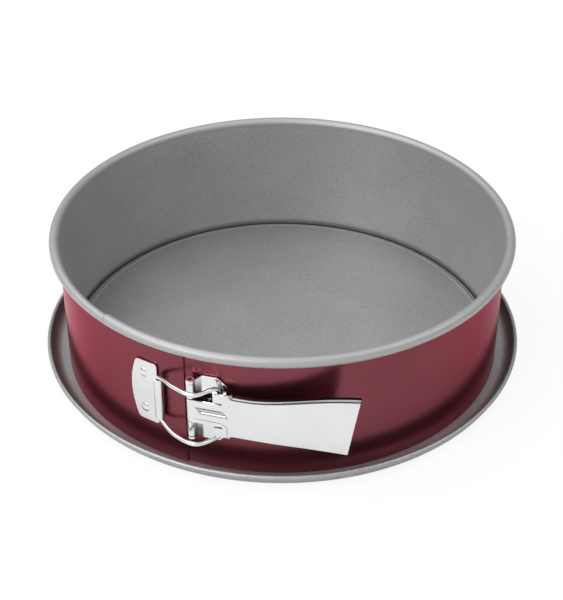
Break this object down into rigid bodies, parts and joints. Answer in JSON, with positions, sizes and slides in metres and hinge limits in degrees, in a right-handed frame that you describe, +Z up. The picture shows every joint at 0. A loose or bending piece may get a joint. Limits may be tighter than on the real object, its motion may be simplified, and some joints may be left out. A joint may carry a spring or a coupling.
{
  "type": "springform baking pan",
  "caption": "Round springform baking pan: a split sheet-steel band with a rolled rim, drawn tight round a lipped base plate by an over-centre lever and wire bail.",
  "frame": {"origin": "on the pan's axis, at the underside of the base plate", "axes": "+Z up along the pan's axis, -Y towards the viewer of the picture, with the clasp to the left of the middle on that side"},
  "size_m": [0.2648, 0.2656, 0.0748],
  "materials": {
    "non_stick_grey": "satin grey non-stick coating",
    "wine_red_enamel": "glossy wine red outside, grey non-stick coating inside and on the rolled rim",
    "bright_tin": "bright plated steel"
  },
  "bodies": {
    "base": {"base_plate": "non_stick_grey"},
    "ring_right": {"band_right": "wine_red_enamel", "hinge_bracket": "bright_tin", "hinge_pin": "bright_tin", "bracket_rivet_top": "bright_tin", "bracket_rivet_bottom": "bright_tin"},
    "lever": {"lever": "bright_tin"},
    "ring_left": {"band_left": "wine_red_enamel", "anchor_plate": "bright_tin", "anchor_rivet_top": "bright_tin", "anchor_rivet_bottom": "bright_tin"},
    "bail": {"bail_wire": "bright_tin"}
  },
  "joints": [
    {"name": "ring_lift", "type": "slide", "parent": "base", "child": "ring_right", "axis": [0, 0, 1], "range_m": [0, 0.1]},
    {"name": "lever_swing", "type": "hinge", "parent": "ring_right", "child": "lever", "pos_m": [-0.04442, -0.11655, 0.0393], "axis": [0, 0, -1], "range_deg": [0, 100]},
    {"name": "band_open", "type": "hinge", "parent": "ring_right", "child": "ring_left", "pos_m": [0.05192, 0.11134, 0.0393], "axis": [0, 0, -1], "range_deg": [0, 2.22]},
    {"name": "bail_swing", "type": "hinge", "parent": "ring_left", "child": "bail", "pos_m": [-0.06044, -0.10844, 0.0393], "axis": [0, 0, -1], "range_deg": [0, 30.82]}
  ],
  "couplings": [
    {"joint": "band_open", "follows": "lever_swing", "ratio": 0.02216},
    {"joint": "bail_swing", "follows": "lever_swing", "ratio": 0.30818}
  ]
}
